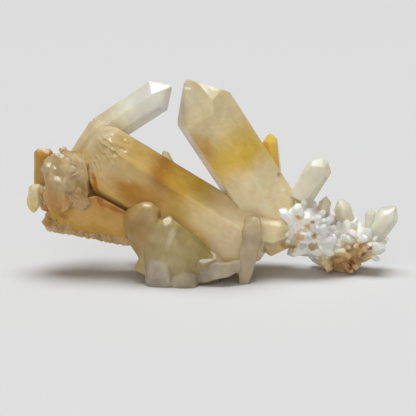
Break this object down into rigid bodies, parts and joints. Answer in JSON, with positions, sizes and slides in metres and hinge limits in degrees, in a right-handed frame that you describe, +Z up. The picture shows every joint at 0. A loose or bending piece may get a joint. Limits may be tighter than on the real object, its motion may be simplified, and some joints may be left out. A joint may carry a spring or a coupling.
{
  "type": "quartz crystal cluster",
  "caption": "Cluster of clear, milky and mango-yellow quartz points grown together, with a druse of small clear crystals on an iron-stained matrix at one end.",
  "frame": {"origin": "on the surface that the cluster rests on, below the middle of its box", "axes": "+X along the cluster from the mango end to the druse end, -Y to its front, +Z up"},
  "size_m": [0.096, 0.0288, 0.0507],
  "materials": {
    "quartz": "clear to milky natural crystal faces, mango yellow in bands, with iron stains on the matrix"
  },
  "bodies": {
    "root": {"mango_quartz_cluster": "quartz"}
  },
  "joints": []
}
